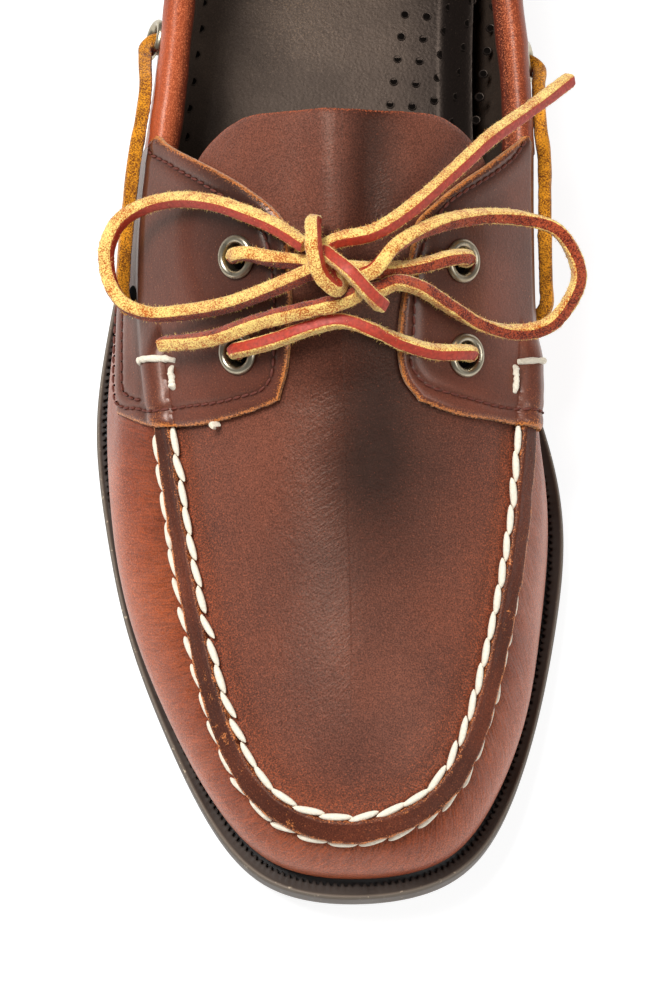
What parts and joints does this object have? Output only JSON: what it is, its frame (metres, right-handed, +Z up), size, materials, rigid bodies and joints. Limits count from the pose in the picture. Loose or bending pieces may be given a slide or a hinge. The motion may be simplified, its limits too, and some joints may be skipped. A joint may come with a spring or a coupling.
{
  "type": "boat shoe",
  "caption": "Hand-sewn leather boat shoe with a raised moccasin seam, tied thong lace and a thin rubber cup sole.",
  "frame": {"origin": "middle of the shoe's plan box, on the floor the sole stands on", "axes": "+Z up, -Y towards the toe, +Y towards the heel, +X towards the big-toe (inner) side of this right shoe"},
  "size_m": [0.1105, 0.3043, 0.0934],
  "materials": {
    "sole_rubber": "matt, slightly worn rim",
    "insole_leather": "dark, smooth, perforated",
    "upper_leather": "waxed, creased",
    "tongue_leather": "waxed, soft sheen",
    "ridge_leather": "cut strip with raw edges",
    "stay_leather": "waxed, raw tan edge",
    "collar_leather": "soft padded roll",
    "eyelet_nickel": "aged nickel",
    "lace_rawhide": "raw thong, fuzzy cut faces"
  },
  "bodies": {
    "root": {"outsole": "sole_rubber", "insole": "insole_leather", "upper": "upper_leather", "tongue": "tongue_leather", "seam_ridge": "ridge_leather", "eyestay_inner": "stay_leather", "eyestay_outer": "stay_leather", "collar": "collar_leather", "eyelet_inner_front": "eyelet_nickel", "eyelet_inner_back": "eyelet_nickel", "eyelet_outer_front": "eyelet_nickel", "eyelet_outer_back": "eyelet_nickel", "eyelet_inner_side": "eyelet_nickel", "eyelet_outer_side": "eyelet_nickel", "lace_bar_back": "lace_rawhide", "lace_bar_front": "lace_rawhide", "lace_knot": "lace_rawhide", "lace_loop_outer": "lace_rawhide", "lace_loop_inner": "lace_rawhide", "lace_end_inner": "lace_rawhide", "lace_end_outer": "lace_rawhide", "lace_side_outer": "lace_rawhide", "lace_side_inner": "lace_rawhide"}
  },
  "joints": []
}
